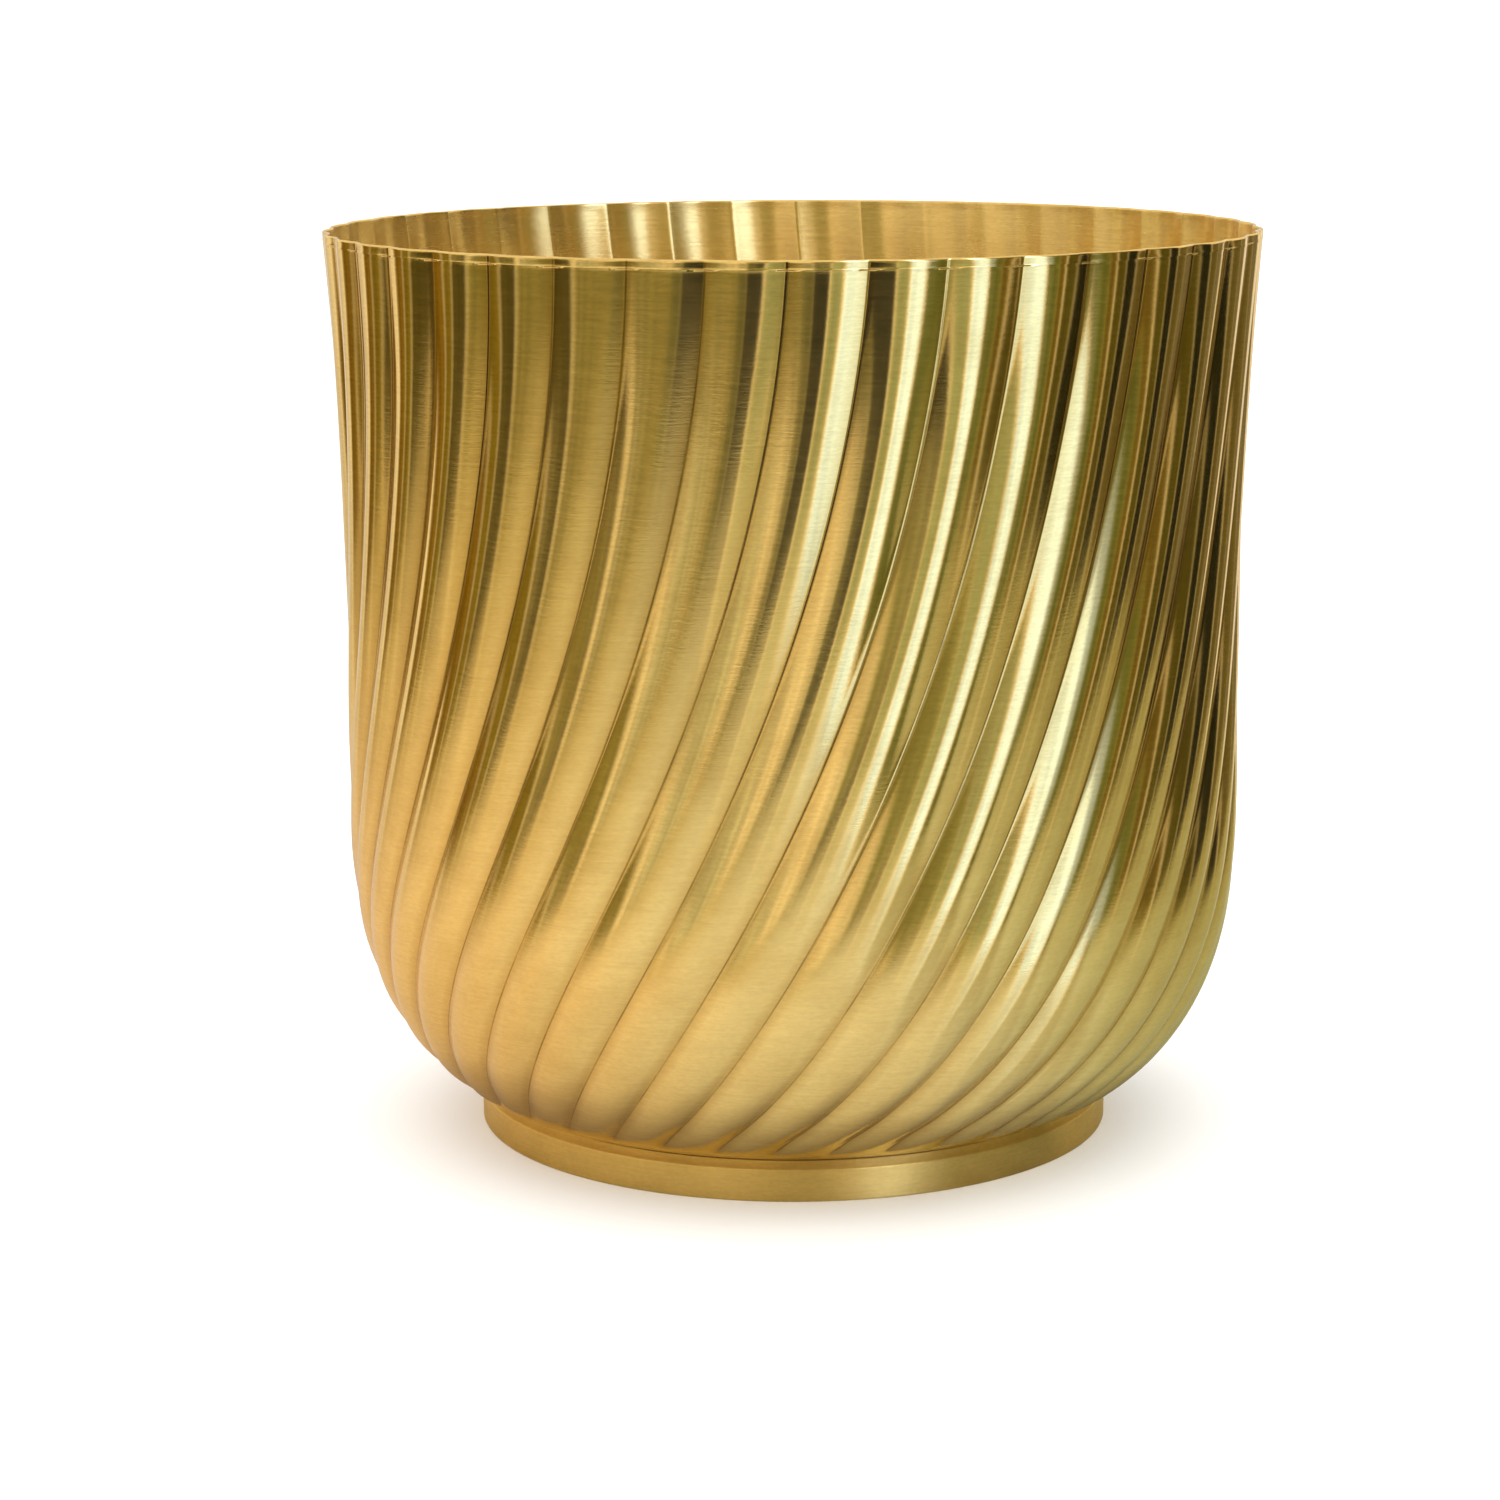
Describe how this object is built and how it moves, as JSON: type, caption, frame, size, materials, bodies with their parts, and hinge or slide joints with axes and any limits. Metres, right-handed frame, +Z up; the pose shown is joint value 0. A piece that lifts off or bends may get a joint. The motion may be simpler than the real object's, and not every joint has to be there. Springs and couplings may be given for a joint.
{
  "type": "planter pot",
  "caption": "Round sheet-brass planter pot with flutes that sweep down and to the left in a growing lean, a narrow upright lip, a rounded underside and a plain turned foot ring",
  "frame": {"origin": "centre of the circle that the foot ring stands on", "axes": "+Z up along the pot's axis; -Y is the pictured front; the pot is the same every 9 degrees about Z"},
  "size_m": [0.2094, 0.2094, 0.205],
  "materials": {
    "bowl_brass": "brushed, polished on the flutes",
    "foot_brass": "satin, turned",
    "brazing_alloy": "dull"
  },
  "bodies": {
    "root": {"fluted_bowl": "bowl_brass", "foot_ring": "foot_brass", "solder_fillet": "brazing_alloy"}
  },
  "joints": []
}
